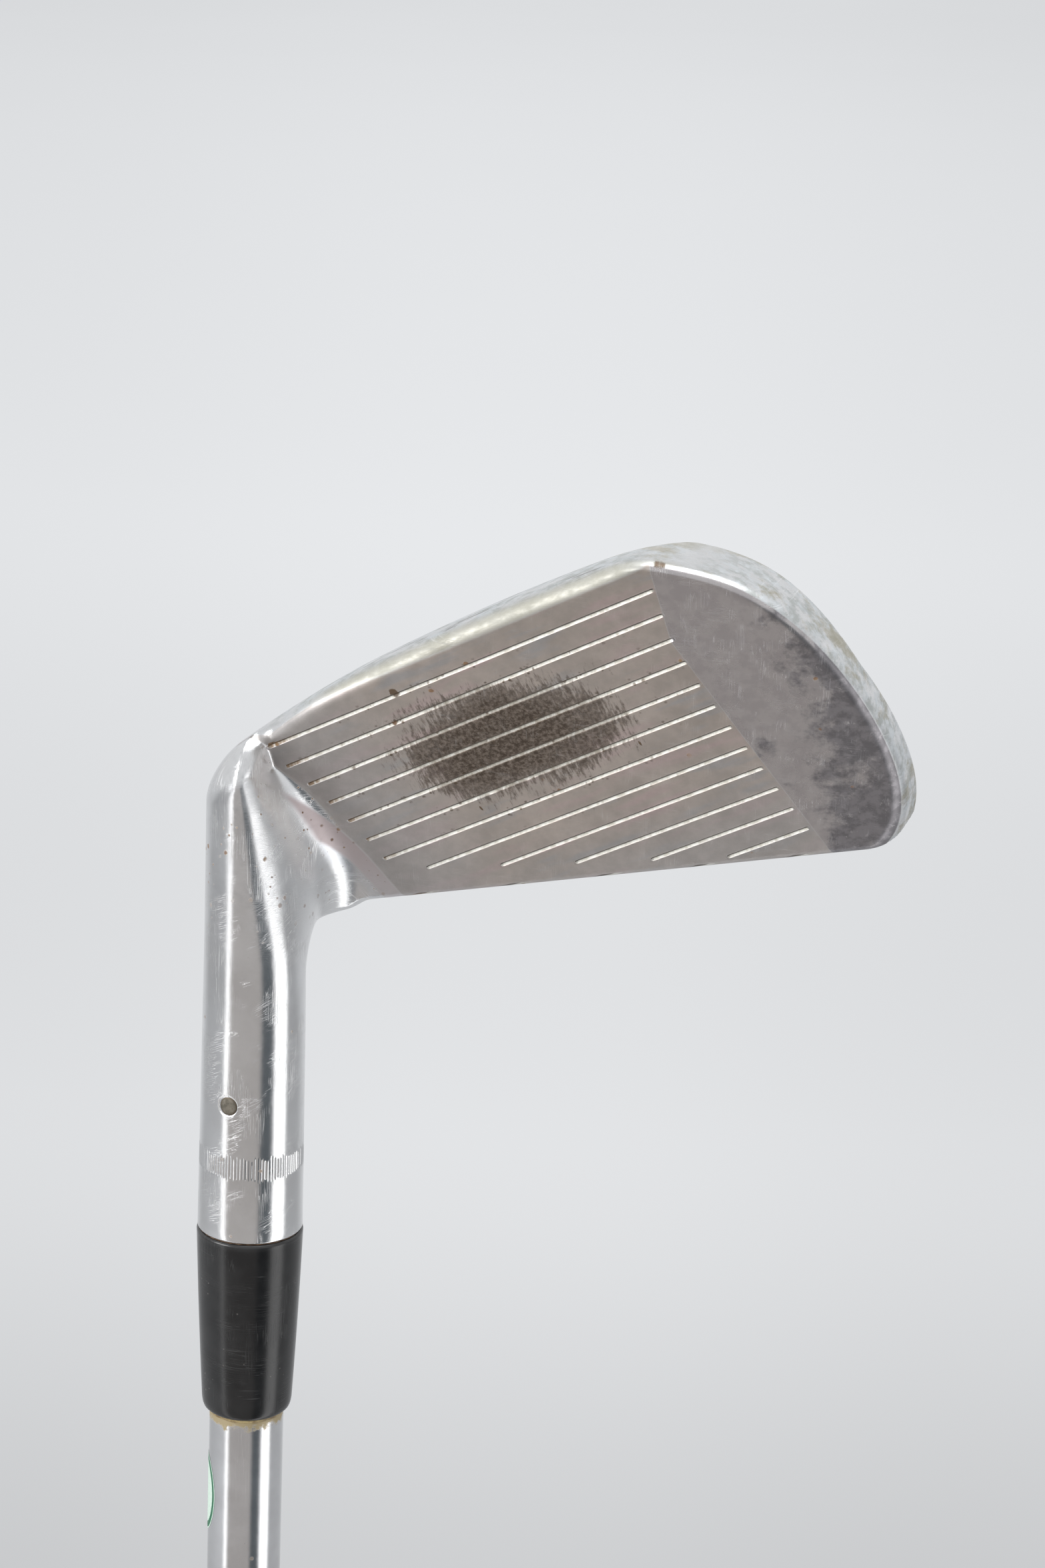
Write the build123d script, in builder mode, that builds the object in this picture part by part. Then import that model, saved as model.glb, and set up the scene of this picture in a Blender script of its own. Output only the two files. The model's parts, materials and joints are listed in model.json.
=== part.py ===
from build123d import *
from math import cos, pi, radians, sin, sqrt
import os

os.makedirs("parts", exist_ok=True)

# Iron golf club, men's right-handed mid iron. All lengths are millimetres.
# The origin is the middle of the grip's butt end. +Z runs up the shaft to the head,
# +X is the toe side and the face looks towards -Y.

# Whole club
CLUB_LENGTH = 940.0        # butt end to the ground line, along the shaft
LIE = 62.0                 # shaft to ground, degrees
LOFT = 31.0                # face to the vertical, degrees

# Head
HOSEL_LENGTH = 69.5        # ground line to the ferrule joint, along the shaft
HOSEL_R_TOP = 6.75
HOSEL_R_NECK = 6.4
HOSEL_TAPER = 40.0
BORE_R = 4.97
BORE_DEPTH = 36.0
FACE_FOOT = -4.84          # where the face plane meets the ground, front to back
BLADE_THICKNESS = 5.8      # at the top line
EDGE_R = 1.4
BACK_EDGE_R = 1.6
BLADE_HEEL = -1.5          # heel end of the flat face
RUN_OUT_R = 3.5            # hollow where the flat face runs out into the neck
RUN_OUT_HEEL = -3.9        # heel end of the flat face at the ground
RUN_OUT_LEAN = 6.3         # degrees the run-out leans towards the toe
TOE_END = 72.0
SOLE_MID = 3.5             # lowest line of the sole, front to back
SOLE_CAMBER_R = 25.0
SOLE_CAMBER_HALF = 22.0
SOLE_LENGTH_R = 330.0
SOLE_CENTRE = 36.0

# Score lines
LINE_COUNT = 12
LINE_PITCH = 3.69
LINE_WIDTH = 0.85
LINE_DEPTH = 0.42
FIRST_LINE = 6.417         # up the face from the foot of the face plane
LINE_HEEL = 1.37
LINE_TOE = 52.37

# Knurled band on the hosel
KNURL_BOTTOM = 8.5
KNURL_HEIGHT = 3.4
KNURL_COUNT = 100
KNURL_DEPTH = 0.12
KNURL_WIDTH = 0.22

# Pin, ferrule, bond and plug
PIN_R = 1.25
PIN_HEIGHT = 18.5          # above the ferrule joint
FERRULE_LENGTH = 25.4
FERRULE_R_TOP = 6.85
FERRULE_R_END = 5.75
FERRULE_ROUND = 0.75
PLUG_BOTTOM = 21.5
PLUG_TOP = 33.5

# Shaft
TIP_R = 4.82
BUTT_R = 7.62
WALL = 0.45
TIP_INSERT = 34.0          # how far the tip goes into the hosel
STEP_COUNT = 14
STEP_PITCH = 36.5
FIRST_STEP_Z = 285.0
SHAFT_START_Z = 7.5

# Grip
GRIP_LENGTH = 267.0
TAPE_R = 7.8
CAP_R = 14.2
CAP_THICKNESS = 4.0
CAP_COLLAR_R = 10.0
CAP_COLLAR_TOP = 7.0
VENT_R = 1.75

# Shaft label
LABEL_R = 4.88
LABEL_Z = -37.9            # from the ferrule joint
LABEL_HALF_HEIGHT = 5.6
LABEL_HALF_WIDTH = 2.9
LABEL_ANGLE = -62.0        # round the shaft from the front, towards the toe

JOINT_Z = CLUB_LENGTH - HOSEL_LENGTH
lie_angle = radians(LIE)
loft_angle = radians(LOFT)

# Directions of the head as it sits at address, and the shaft's crossing of the ground.
toe_dir = Vector(sin(lie_angle), 0, cos(lie_angle))
up_dir = Vector(cos(lie_angle), 0, -sin(lie_angle))
back_dir = Vector(0, 1, 0)
into_face = back_dir * cos(loft_angle) - up_dir * sin(loft_angle)
up_face = up_dir * cos(loft_angle) + back_dir * sin(loft_angle)
ground = Vector(0, 0, CLUB_LENGTH)


def blade_point(height, depth):
    """A point of the blade's cross-section: back from the shaft axis, and above the ground."""
    back = FACE_FOOT + height * sin(loft_angle) + depth * cos(loft_angle)
    return (back, height * cos(loft_angle) - depth * sin(loft_angle))


def oval_point(middle, radii, lean, angle):
    """A point of an oval whose far end leans towards the back."""
    turn = radians(angle)
    return (middle[0] + radii[0] * cos(turn), middle[1] + radii[1] * sin(turn) + lean * cos(turn))


def lies_on_face(edge):
    """Whether an edge is on the face plane."""
    foot = ground + back_dir * FACE_FOOT
    return all(abs((edge.position_at(k) - foot).dot(into_face)) < 0.001 for k in (0, 0.3, 0.7, 1))


def toe_distance(edge):
    """How far the middle of an edge is towards the toe from the shaft axis, along the ground."""
    return (edge.center() - ground).dot(toe_dir)


section_plane = Plane(origin=ground + toe_dir * TOE_END, x_dir=back_dir, z_dir=toe_dir * -1)
sole_plane = Plane(origin=ground + toe_dir * SOLE_CENTRE, x_dir=back_dir, z_dir=toe_dir * -1)
outline_plane = Plane(origin=ground - back_dir * 20, x_dir=toe_dir, z_dir=back_dir)
face_plane = Plane(origin=ground + back_dir * FACE_FOOT, x_dir=toe_dir, z_dir=into_face)

# Ground under the sole: curved front to back and heel to toe.
sole_rise = SOLE_CAMBER_R - sqrt(SOLE_CAMBER_R**2 - SOLE_CAMBER_HALF**2)
sole_axis = Axis(ground + toe_dir * SOLE_CENTRE + up_dir * SOLE_LENGTH_R, back_dir)
with BuildPart() as sole_cut:
    with BuildSketch(sole_plane):
        with BuildLine():
            camber = ThreePointArc(
                (SOLE_MID - SOLE_CAMBER_HALF, sole_rise),
                (SOLE_MID, 0),
                (SOLE_MID + SOLE_CAMBER_HALF, sole_rise),
            )
            Polyline(
                camber @ 1,
                (SOLE_MID + SOLE_CAMBER_HALF, -14),
                (SOLE_MID - SOLE_CAMBER_HALF, -14),
                camber @ 0,
            )
        make_face()
    revolve(axis=sole_axis)

# Rounded corner of the heel.
with BuildPart() as heel_cut:
    with BuildSketch(outline_plane):
        with BuildLine():
            heel_side = Line((-16.5, 16.5), (-12.2, 8.6))
            heel_corner = ThreePointArc(heel_side @ 1, (-9.9, 6.0), (-7.2, 4.5))
            heel_sole = ThreePointArc(heel_corner @ 1, (-1.5, 2.3), (4, 1.2))
            Polyline(heel_sole @ 1, (4, -8), (-40, -8), (-40, 16.5), (-16.5, 16.5))
        make_face()
    extrude(amount=60)

# Blade: cross-section swept from toe to heel, trimmed to the outline seen from the front.
with BuildPart() as blade:
    with BuildSketch(section_plane):
        with BuildLine():
            front = Line(blade_point(0.5, 0), blade_point(64, 0))
            top = Line(front @ 1, blade_point(64, BLADE_THICKNESS))
            upper_back = Line(top @ 1, blade_point(31, 6.4))
            muscle = Spline(
                upper_back @ 1,
                blade_point(21.5, 9.2),
                blade_point(11, 13.6),
                tangents=(upper_back % 1, Vector(0.1, -1)),
            )
            drop = Line(muscle @ 1, ((muscle @ 1).X, -6))
            below = Line(drop @ 1, ((front @ 0).X, -6))
            Line(below @ 1, front @ 0)
        make_face()
    extrude(amount=TOE_END - BLADE_HEEL)
    with BuildSketch(outline_plane):
        with BuildLine():
            sole_line = Line((-12, -3), (47, -1.5))
            toe_low = TangentArc(sole_line @ 1, (63.8, 8.3), tangent=sole_line % 1)
            toe_side = ThreePointArc(toe_low @ 1, (68.3, 25.5), (65.8, 40))
            toe_high = ThreePointArc(toe_side @ 1, (62.0, 44.4), (55.5, 45.45))
            top_line = Line(toe_high @ 1, (-6, 28.65))
            Polyline(top_line @ 1, (-14, 28.65), (-12, -3))
        make_face()
    extrude(amount=80, mode=Mode.INTERSECT)
    add(sole_cut.part, mode=Mode.SUBTRACT)
    face_edges = [e for e in blade.edges() if lies_on_face(e) and toe_distance(e) > 0]
    fillet(face_edges, EDGE_R)
    high_edges = [e for e in blade.edges() if e.geom_type == GeomType.LINE and e.center().Y > 24.5]
    toe_edges = [e for e in blade.edges() if e.geom_type == GeomType.ELLIPSE and e.center().Y > 20.9]
    fillet([e for e in high_edges if e.length > 50] + toe_edges, BACK_EDGE_R)

# Neck: from the round hosel, turning through the heel, to the blade's cross-section.
neck_turn = toe_dir * 0.515 + up_dir * 0.857
neck_middle = ground - toe_dir * 10.7 + up_dir * 21.3
with BuildPart() as neck:
    with BuildSketch(Plane(origin=ground - Vector(0, 0, 36), x_dir=(1, 0, 0), z_dir=(0, 0, 1))):
        with BuildLine():
            for start in (-45, 45, 135, 225):
                ThreePointArc(
                    oval_point((0, 0), (5.6, 5.6), 0, start),
                    oval_point((0, 0), (5.6, 5.6), 0, start + 45),
                    oval_point((0, 0), (5.6, 5.6), 0, start + 90),
                )
        make_face()
    with BuildSketch(Plane(origin=neck_middle, x_dir=neck_turn, z_dir=neck_turn.cross(back_dir))):
        with BuildLine():
            for start in (-45, 45, 135, 225):
                Spline(
                    oval_point((1.2, 2.7), (7.2, 6.7), 2.6, start),
                    oval_point((1.2, 2.7), (7.2, 6.7), 2.6, start + 30),
                    oval_point((1.2, 2.7), (7.2, 6.7), 2.6, start + 60),
                    oval_point((1.2, 2.7), (7.2, 6.7), 2.6, start + 90),
                )
        make_face()
    with BuildSketch(Plane(origin=ground + toe_dir * BLADE_HEEL, x_dir=up_dir, z_dir=toe_dir)):
        with BuildLine():
            top_edge = Line((29.88, 13.11), (29.88, 20.05))
            back_edge = Spline(top_edge @ 1, (23.3, 16.6), (13.7, 14.1), (3.5, 12.45))
            sole_edge = ThreePointArc(back_edge @ 1, (2.2, 4), (2.85, -3.13))
            Line(sole_edge @ 1, top_edge @ 0)
        make_face()
    loft()

# Face cut: clears the front of the flat face and hollows the neck beside it.
run_up = up_face * cos(radians(RUN_OUT_LEAN)) + toe_dir * sin(radians(RUN_OUT_LEAN))
run_across = toe_dir * cos(radians(RUN_OUT_LEAN)) - up_face * sin(radians(RUN_OUT_LEAN))
run_start = ground + back_dir * FACE_FOOT + toe_dir * RUN_OUT_HEEL - run_up * 8
with BuildPart() as face_cut:
    with BuildSketch(Plane(origin=run_start, x_dir=run_across, z_dir=run_up)):
        with BuildLine():
            hollow = CenterArc((0, RUN_OUT_R), RUN_OUT_R, 270, -80)
            wall = Line(hollow @ 1, hollow @ 1 + hollow % 1 * 30)
            Polyline(wall @ 1, (40, (wall @ 1).Y), (40, 0), hollow @ 0)
        make_face()
    extrude(amount=46)

# Head, one forging: blade, neck and hosel, with the bore for the shaft.
with BuildPart() as head:
    add(blade.part)
    add(neck.part)
    with BuildSketch(Plane.XZ):
        Polygon(
            (0, JOINT_Z),
            (HOSEL_R_TOP, JOINT_Z),
            (HOSEL_R_NECK, JOINT_Z + HOSEL_TAPER),
            (HOSEL_R_NECK, CLUB_LENGTH + 8),
            (0, CLUB_LENGTH + 8),
            align=None,
        )
    revolve(axis=Axis.Z)
    add(sole_cut.part, mode=Mode.SUBTRACT)
    add(heel_cut.part, mode=Mode.SUBTRACT)
    add(face_cut.part, mode=Mode.SUBTRACT)
    with BuildSketch(Plane.XZ):
        Polygon(
            (0, JOINT_Z),
            (BORE_R, JOINT_Z),
            (BORE_R, JOINT_Z + BORE_DEPTH),
            (0, JOINT_Z + BORE_DEPTH + 2.5),
            align=None,
        )
    revolve(axis=Axis.Z, mode=Mode.SUBTRACT)
    with Locations(Location((0, 0, JOINT_Z + PIN_HEIGHT), (90, 0, 0))):
        Cylinder(PIN_R, 20, mode=Mode.SUBTRACT)
    # Score lines: V-shaped cuts whose heel ends follow the blend, then the top line.
    for line in range(LINE_COUNT):
        heel_end = LINE_HEEL - 2.8 * max(0, (6 - line) / 6) ** 2
        if line > 6:
            heel_end = LINE_HEEL + 4.1 + 8.83 * (line - 7)
        toe_end = LINE_TOE + 2.7 * max(0, (5 - line) / 5) ** 2
        height = FIRST_LINE + LINE_PITCH * line
        start = face_plane.from_local_coords((heel_end, height, 0))
        with BuildSketch(Plane(origin=start, x_dir=up_face, z_dir=toe_dir)):
            Polygon(
                (-LINE_WIDTH / 2 - 0.1, -0.1),
                (LINE_WIDTH / 2 + 0.1, -0.1),
                (0, LINE_DEPTH),
                align=None,
            )
        extrude(amount=toe_end - heel_end, mode=Mode.SUBTRACT)
    # Knurled band: fine upright cuts round the hosel.
    with BuildSketch(Plane(origin=(0, 0, JOINT_Z + KNURL_BOTTOM))):
        with PolarLocations(HOSEL_R_TOP - 0.08, KNURL_COUNT):
            Rectangle(2 * KNURL_DEPTH, KNURL_WIDTH)
    extrude(amount=KNURL_HEIGHT, mode=Mode.SUBTRACT)
head.part.label = "head"
export_step(head.part, "parts/head.step")

# Shaft: hollow steel tube that steps down from the butt to the tip.
tip_z = JOINT_Z + TIP_INSERT
step_height = (BUTT_R - TIP_R) / STEP_COUNT
with BuildPart() as shaft:
    with BuildSketch(Plane.XZ):
        with BuildLine():
            outside = [(BUTT_R, SHAFT_START_Z)]
            for step in range(STEP_COUNT):
                step_z = FIRST_STEP_Z + STEP_PITCH * step
                outside.append((BUTT_R - step_height * step, step_z))
                outside.append((BUTT_R - step_height * (step + 1), step_z + 1.2))
            outside.append((TIP_R, tip_z))
            inside = [(radius - WALL, z) for radius, z in reversed(outside)]
            Polyline(*outside, *inside, outside[0])
        make_face()
    revolve(axis=Axis.Z)
    with Locations(Location((0, 0, JOINT_Z + PIN_HEIGHT), (90, 0, 0))):
        Cylinder(PIN_R, 20, mode=Mode.SUBTRACT)
shaft.part.label = "shaft"
export_step(shaft.part, "parts/shaft.step")

# Bond layer between the shaft tip and the hosel bore.
with BuildPart() as hosel_epoxy:
    with BuildSketch(Plane(origin=(0, 0, JOINT_Z))):
        Circle(BORE_R)
        Circle(TIP_R, mode=Mode.SUBTRACT)
    extrude(amount=TIP_INSERT)
    with Locations(Location((0, 0, JOINT_Z + PIN_HEIGHT), (90, 0, 0))):
        Cylinder(PIN_R, 20, mode=Mode.SUBTRACT)
hosel_epoxy.part.label = "hosel_epoxy"
export_step(hosel_epoxy.part, "parts/hosel_epoxy.step")

# Pin through the hosel and the shaft tip, filed flush with the hosel at both ends.
with BuildPart() as hosel_pin:
    with Locations(Location((0, 0, JOINT_Z + PIN_HEIGHT), (90, 0, 0))):
        Cylinder(PIN_R, 20)
    with Locations((0, 0, JOINT_Z + PIN_HEIGHT)):
        Cylinder(HOSEL_R_TOP - 0.18, 10, mode=Mode.INTERSECT)
hosel_pin.part.label = "hosel_pin"
export_step(hosel_pin.part, "parts/hosel_pin.step")

# Plug that closes the shaft tip and holds any swing-weight filling.
with BuildPart() as shaft_tip_plug:
    with BuildSketch(Plane(origin=(0, 0, JOINT_Z + PLUG_BOTTOM))):
        Circle(TIP_R - WALL)
    extrude(amount=PLUG_TOP - PLUG_BOTTOM)
    chamfer(shaft_tip_plug.edges().group_by(Axis.Z)[0], 0.5)
shaft_tip_plug.part.label = "shaft_tip_plug"
export_step(shaft_tip_plug.part, "parts/shaft_tip_plug.step")

# Ferrule: tapered collar that covers the joint.
with BuildPart() as ferrule:
    with BuildSketch(Plane.XZ):
        with BuildLine():
            inner = Line((TIP_R, JOINT_Z), (TIP_R, JOINT_Z - FERRULE_LENGTH))
            low = Line(inner @ 1, (FERRULE_R_END, JOINT_Z - FERRULE_LENGTH))
            outer = ThreePointArc(
                low @ 1,
                (6.36, JOINT_Z - FERRULE_LENGTH / 2),
                (FERRULE_R_TOP, JOINT_Z),
            )
            Line(outer @ 1, inner @ 0)
        make_face()
    revolve(axis=Axis.Z)
    low_edges = ferrule.edges().filter_by(GeomType.CIRCLE).group_by(Axis.Z)[0]
    fillet(low_edges.sort_by(SortBy.RADIUS)[-1], FERRULE_ROUND)
ferrule.part.label = "ferrule"
export_step(ferrule.part, "parts/ferrule.step")

# Label: a blank oval wrapped round the shaft just below the ferrule.
label_turn = radians(LABEL_ANGLE)
label_out = Vector(sin(label_turn), -cos(label_turn), 0)
label_middle = Vector(0, 0, JOINT_Z + LABEL_Z)
with BuildPart() as shaft_label:
    with BuildSketch(Plane(origin=label_middle, x_dir=Vector(0, 0, 1), z_dir=label_out)):
        Ellipse(LABEL_HALF_HEIGHT, LABEL_HALF_WIDTH)
    extrude(amount=8)
    with BuildSketch(Plane(origin=label_middle - Vector(0, 0, 8))):
        Circle(LABEL_R)
        Circle(TIP_R, mode=Mode.SUBTRACT)
    extrude(amount=16, mode=Mode.INTERSECT)
shaft_label.part.label = "shaft_label"
export_step(shaft_label.part, "parts/shaft_label.step")

# Tape between the shaft and the grip.
with BuildPart() as grip_tape:
    with BuildSketch(Plane(origin=(0, 0, SHAFT_START_Z))):
        Circle(TAPE_R)
        Circle(BUTT_R, mode=Mode.SUBTRACT)
    extrude(amount=GRIP_LENGTH - SHAFT_START_Z - 1)
grip_tape.part.label = "grip_tape"
export_step(grip_tape.part, "parts/grip_tape.step")

# Grip: tapered rubber sleeve with a thicker mouth, recessed at the butt for the cap.
with BuildPart() as grip:
    with BuildSketch(Plane.XZ):
        with BuildLine():
            bore_line = Line((TAPE_R, CAP_COLLAR_TOP), (TAPE_R, GRIP_LENGTH))
            mouth = Line(bore_line @ 1, (9.2, GRIP_LENGTH))
            lip = Line(mouth @ 1, (9.6, GRIP_LENGTH - 6))
            body = Spline(
                lip @ 1,
                (9.1, GRIP_LENGTH - 12),
                (9.7, 190),
                (11.1, 100),
                (12.9, 30),
                (CAP_R, CAP_THICKNESS),
            )
            Polyline(
                body @ 1,
                (CAP_COLLAR_R, CAP_THICKNESS),
                (CAP_COLLAR_R, CAP_COLLAR_TOP),
                bore_line @ 0,
            )
        make_face()
    revolve(axis=Axis.Z)
grip.part.label = "grip"
export_step(grip.part, "parts/grip.step")

# Grip cap: butt end moulding with the vent hole used when the grip is fitted.
with BuildPart() as grip_cap:
    with BuildSketch(Plane.XY):
        Circle(CAP_R)
    extrude(amount=CAP_THICKNESS)
    fillet(grip_cap.edges().group_by(Axis.Z)[0], 2.0)
    with BuildSketch(Plane(origin=(0, 0, CAP_THICKNESS))):
        Circle(CAP_COLLAR_R)
    extrude(amount=CAP_COLLAR_TOP - CAP_THICKNESS)
    with BuildSketch(Plane.XY):
        Circle(VENT_R)
    extrude(amount=CAP_COLLAR_TOP, mode=Mode.SUBTRACT)
grip_cap.part.label = "grip_cap"
export_step(grip_cap.part, "parts/grip_cap.step")
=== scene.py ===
import json
from math import cos, pi, radians, sin

import bpy
import numpy as np
from mathutils import Matrix, Vector

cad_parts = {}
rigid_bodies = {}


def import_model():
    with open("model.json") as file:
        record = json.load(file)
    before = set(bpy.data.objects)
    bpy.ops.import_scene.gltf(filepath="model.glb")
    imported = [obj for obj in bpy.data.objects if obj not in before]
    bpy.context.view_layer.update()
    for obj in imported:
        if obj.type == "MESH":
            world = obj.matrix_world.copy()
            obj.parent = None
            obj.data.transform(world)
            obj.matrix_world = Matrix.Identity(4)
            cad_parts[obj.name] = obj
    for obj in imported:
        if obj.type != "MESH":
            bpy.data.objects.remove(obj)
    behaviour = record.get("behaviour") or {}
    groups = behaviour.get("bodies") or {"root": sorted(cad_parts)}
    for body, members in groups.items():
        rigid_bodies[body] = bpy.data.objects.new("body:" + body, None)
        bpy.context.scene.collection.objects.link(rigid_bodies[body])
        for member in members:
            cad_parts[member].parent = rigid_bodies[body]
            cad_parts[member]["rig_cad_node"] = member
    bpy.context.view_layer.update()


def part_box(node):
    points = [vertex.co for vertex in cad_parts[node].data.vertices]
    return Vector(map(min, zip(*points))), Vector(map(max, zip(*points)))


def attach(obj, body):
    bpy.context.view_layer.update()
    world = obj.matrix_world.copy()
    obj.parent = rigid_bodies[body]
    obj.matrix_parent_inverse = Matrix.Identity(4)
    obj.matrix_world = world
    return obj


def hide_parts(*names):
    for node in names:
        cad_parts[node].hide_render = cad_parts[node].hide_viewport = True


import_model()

# -------- frame of the head
# Lengths are millimetres. The part's frame has the shaft's axis on Z with the butt at the
# origin, the toe side on +X and the face towards -Y. Head coordinates start at the foot of the
# face: x runs to the toe, b up the face and n into the face. h is the height above the ground
# line of a club that stands at its lie, and y is front to back from the shaft's axis.
CLUB = 940.0                   # butt end to the ground line, along the shaft
JOINT = round(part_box("ferrule")[1].z * 1000, 3)
LIE = radians(62)
LOFT = radians(31)
FACE_FOOT = -4.84              # y of the foot of the face
TOE = np.array([sin(LIE), 0, cos(LIE)])
UP = np.array([cos(LIE), 0, -sin(LIE)])
BACK = np.array([0.0, 1.0, 0.0])
INTO = BACK * cos(LOFT) - UP * sin(LOFT)
UP_FACE = UP * cos(LOFT) + BACK * sin(LOFT)
GROUND = np.array([0, 0, CLUB])
FOOT = GROUND + BACK * FACE_FOOT

# Score lines
LINES = 12
LINE_PITCH = 3.69
FIRST_LINE = 6.417             # b of the lowest line
LINE_HEEL = 1.37
LINE_TOE = 52.37
LINE_DEPTH = 0.33

# Hosel
HOSEL_R = 6.4
HOSEL_SWELL = 0.35             # gain in radius towards the ferrule
SWELL_START = 29.5
SWELL_LENGTH = 40
SLEEVE = 43.0                  # farther than this from the ground line the hosel is its own mesh
KNURL_COUNT = 100
KNURL_LOW = JOINT + 8.4
KNURL_HIGH = JOINT + 12.0
PIN_Z = JOINT + 18.5
PIN_R = 1.25
HOSEL_R_AT_PIN = 6.59

# Blade
BLADE_THICK = 6.4
MUSCLE_TOP = 31                # b where the back starts to thicken
TOP_LINE_X = 55.5              # the toe end of the straight top line
TOP_LINE_H = 45.45
TOP_LINE_SLOPE = 0.27317
TOP_LINE_COS = 0.9647          # cosine of that slope's angle
SOLE_MID = 3.5                 # y of the sole's lowest line
SOLE_CAMBER_R = 25
SOLE_CENTRE = 36               # x of the sole's lowest point
SOLE_LENGTH_R = 330
HEEL_X = -7.2                  # a point on the flat under the heel corner
HEEL_H = 1.2
HEEL_OUT = 0.2826              # its normal, towards the heel and down
HEEL_DOWN = 0.9592
TOE_X = 44                     # middle that the toe's outline is drawn round
TOE_H = 20


def to_part(x, b, n):
    """Head coordinates to the part's own frame."""
    return FOOT + x[:, None] * TOE + b[:, None] * UP_FACE + n[:, None] * INTO


# -------- shape of the head
def rounded_max(a, b, r):
    """Where two fields meet inside both, with a corner of radius r."""
    return np.minimum(-r, np.maximum(a, b)) + np.hypot(np.maximum(a + r, 0), np.maximum(b + r, 0))


def rounded_min(a, b, r):
    """Two fields joined, with a hollow corner of radius r."""
    return np.maximum(r, np.minimum(a, b)) - np.hypot(np.maximum(r - a, 0), np.maximum(r - b, 0))


def natural_spline(t, v, at):
    """Natural cubic spline through (t, v), evaluated at the points 'at'."""
    h = np.diff(t)
    m = np.zeros((len(t), len(t)))
    rhs = np.zeros(len(t))
    m[0, 0] = m[-1, -1] = 1
    for i in range(1, len(t) - 1):
        m[i, i - 1:i + 2] = h[i - 1], 2 * (h[i - 1] + h[i]), h[i]
        rhs[i] = 6 * ((v[i + 1] - v[i]) / h[i] - (v[i] - v[i - 1]) / h[i - 1])
    c = np.linalg.solve(m, rhs)
    i = np.clip(np.searchsorted(t, at) - 1, 0, len(t) - 2)
    left = t[i + 1] - at
    right = at - t[i]
    bend = (c[i] * left**3 + c[i + 1] * right**3) / (6 * h[i])
    low = (v[i] / h[i] - c[i] * h[i] / 6) * left
    return bend + low + (v[i + 1] / h[i] - c[i + 1] * h[i] / 6) * right


def line_heel(k):
    """Heel end of score line k: it follows the blend, then the top line."""
    if k > 6:
        return LINE_HEEL + 4.1 + 8.83 * (k - 7)
    return LINE_HEEL - 2.8 * ((6 - k) / 6) ** 2


def line_toe(k):
    """Toe end of score line k."""
    return LINE_TOE + 2.7 * max(0, (5 - k) / 5) ** 2


HEEL_ENDS = np.array([line_heel(k) for k in range(LINES)])
TOE_ENDS = np.array([line_toe(k) for k in range(LINES)])


def score_depth(x, b):
    """Depth of the score lines below the face, faired into the face at their rims."""
    k = np.clip(np.rint((b - FIRST_LINE) / LINE_PITCH), 0, LINES - 1).astype(int)
    across = np.abs(b - FIRST_LINE - k * LINE_PITCH)
    depth = LINE_DEPTH - np.hypot(across, 0.04) * 0.92
    ends = np.minimum(x - HEEL_ENDS[k], TOE_ENDS[k] - x) * 1.1
    depth = np.minimum(depth, ends)
    return np.where(depth > 0.03, depth - 0.015, np.maximum(depth + 0.03, 0) ** 2 / 0.24)


# The toe's outline (x, h) seen from the front, from under the sole to over the top line.
outline = np.array([
    (30, -6.0), (40, -4.2), (50, -1.2), (58.0, 3.4), (63.8, 8.8), (67.2, 16), (68.4, 25),
    (67.6, 33.5), (64.9, 41), (61.2, 45.2), (55.5, 47.6), (48, 48.6), (38, 48.8),
])
OUTLINE_TURN = np.arctan2(outline[:, 1] - TOE_H, outline[:, 0] - TOE_X)
OUTLINE_REACH = np.hypot(outline[:, 1] - TOE_H, outline[:, 0] - TOE_X)
FINE_TURN = np.linspace(OUTLINE_TURN[0], OUTLINE_TURN[-1], 4000)
FINE_REACH = natural_spline(OUTLINE_TURN, OUTLINE_REACH, FINE_TURN)


def toe_field(x, h):
    """The toe's outline, the same from front to back."""
    reach = np.interp(np.arctan2(h - TOE_H, x - TOE_X), FINE_TURN, FINE_REACH)
    return np.where(x > 30, (np.hypot(x - TOE_X, h - TOE_H) - reach) * 0.96, -15.0)


def hosel_radius(along):
    """Radius of the hosel at a distance from the ground line, along the shaft."""
    return HOSEL_R + HOSEL_SWELL * np.clip((along - SWELL_START) / SWELL_LENGTH, 0, 1)


def neck_field(across, along, y):
    """The hosel's round bar, which narrows on its toe side down to the leading edge."""
    # it starts to narrow 31.5 mm from the ground line, and narrows faster within 13 mm of it
    u = 31.5 - along
    reach_toe = HOSEL_R - 0.085 * (u + np.sqrt(u**2 + 9)) * np.clip((42 - along) / 8, 0, 1)
    reach_toe = np.maximum(reach_toe - 0.03 * np.maximum(13 - along, 0) ** 1.7, 2.0)
    squeeze = np.where((across > 0) & (along < 42), HOSEL_R / reach_toe, 1.0)
    q = np.hypot(across * squeeze, y)
    steep = np.maximum(np.hypot(squeeze * squeeze * across, y), 0.01)
    return (q - hosel_radius(along)) * q / steep


def back_field(b, n, y, h):
    """The back of the blade, flat above and thickening into the muscle below."""
    low = np.clip(MUSCLE_TOP - b, 0, 30)
    behind = n - BLADE_THICK + np.maximum(b - MUSCLE_TOP, 0) * 0.018 - 0.1608 * low**1.27
    behind = behind / np.sqrt(1 + (0.204 * low**0.27) ** 2)
    return rounded_max(behind, y - 12.48 - 0.25 * np.maximum(h - 1.5, 0) ** 2, 3.0)


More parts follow.
